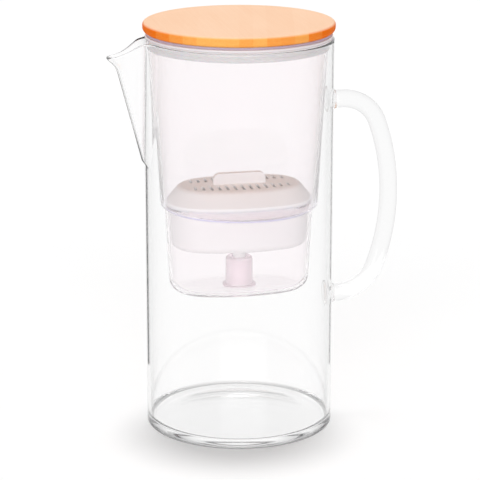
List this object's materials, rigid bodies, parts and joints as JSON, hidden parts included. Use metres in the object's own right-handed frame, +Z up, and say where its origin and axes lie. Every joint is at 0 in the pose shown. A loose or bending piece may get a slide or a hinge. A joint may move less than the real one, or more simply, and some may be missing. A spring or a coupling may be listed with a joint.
{
  "type": "glass water filter pitcher",
  "caption": "Cylindrical glass jug with a pulled spout and a rod handle, bamboo lid, and a lift-out plastic funnel that holds an oval filter cartridge",
  "frame": {"origin": "on the jug's axis, in the plane of the ring that it stands on", "axes": "Z up along the jug's axis; the handle points along +X and the spout along -X"},
  "size_m": [0.1913, 0.1212, 0.2636],
  "materials": {
    "jug_glass": "clear fire-polished borosilicate",
    "handle_glass": "clear borosilicate rod",
    "bamboo": "sanded and oiled bamboo",
    "lid_silicone": "translucent lavender silicone",
    "funnel_plastic": "milky, faintly lavender moulded plastic",
    "gasket_silicone": "matt grey silicone",
    "post_plastic": "clouded mauve moulded plastic",
    "cartridge_plastic": "white moulded plastic",
    "cartridge_silicone": "pale silicone",
    "fleece": "white needled fleece",
    "resin": "amber ion exchange beads",
    "carbon": "activated carbon granules"
  },
  "bodies": {
    "jug": {"glass_body": "jug_glass", "glass_handle": "handle_glass"},
    "funnel_insert": {"funnel": "funnel_plastic", "funnel_gasket": "gasket_silicone", "outlet_post": "post_plastic"},
    "lid": {"lid_disc": "bamboo", "lid_seal": "lid_silicone"},
    "cartridge": {"cartridge_shell": "cartridge_plastic", "cartridge_cap": "cartridge_plastic", "cartridge_seal": "cartridge_silicone", "spigot_o_ring": "cartridge_silicone", "lower_fleece": "fleece", "resin_bed": "resin", "middle_fleece": "fleece", "carbon_bed": "carbon", "upper_fleece": "fleece"}
  },
  "joints": [
    {"name": "funnel_lift", "type": "slide", "parent": "jug", "child": "funnel_insert", "axis": [0, 0, 1], "range_m": [0, 0.18]},
    {"name": "lid_lift", "type": "slide", "parent": "funnel_insert", "child": "lid", "axis": [0, 0, 1], "range_m": [0, 0.1]},
    {"name": "cartridge_lift", "type": "slide", "parent": "funnel_insert", "child": "cartridge", "axis": [0, 0, 1], "range_m": [0, 0.075]}
  ]
}
